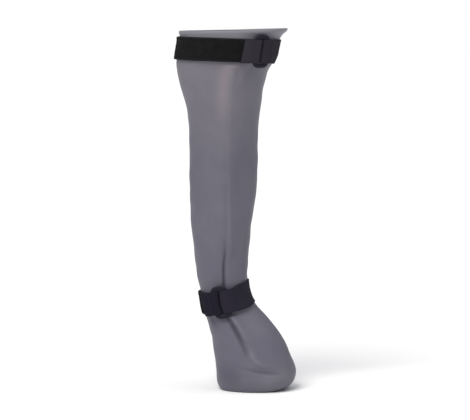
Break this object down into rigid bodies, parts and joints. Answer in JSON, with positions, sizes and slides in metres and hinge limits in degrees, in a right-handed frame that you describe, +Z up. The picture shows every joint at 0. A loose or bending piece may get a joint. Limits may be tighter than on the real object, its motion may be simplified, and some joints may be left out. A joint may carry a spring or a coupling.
{
  "type": "dog protective sock",
  "caption": "Tall moulded silicone sock for a dog's front leg: closed paw end with a flat sole, bent ankle, flared collar, and webbing straps folded through flat rings.",
  "frame": {"origin": "on the ground, under the middle of the object's box", "axes": "+Z up the leg, +X towards the toe, -Y towards the outer side with the rings"},
  "size_m": [0.1314, 0.089, 0.3891],
  "materials": {
    "silicone": "smooth semi-matt grey silicone, slightly translucent",
    "webbing": "charcoal woven webbing",
    "loop_tape": "black looped pile",
    "hook_tape": "black hook tape",
    "ring_plastic": "dark blue-black moulded plastic"
  },
  "bodies": {
    "root": {"sock": "silicone", "upper_strap": "webbing", "upper_loop_tape": "loop_tape", "upper_hook_tape": "hook_tape", "upper_ring": "ring_plastic", "lower_strap": "webbing", "lower_loop_tape": "loop_tape", "lower_hook_tape": "hook_tape", "lower_ring": "ring_plastic"}
  },
  "joints": []
}
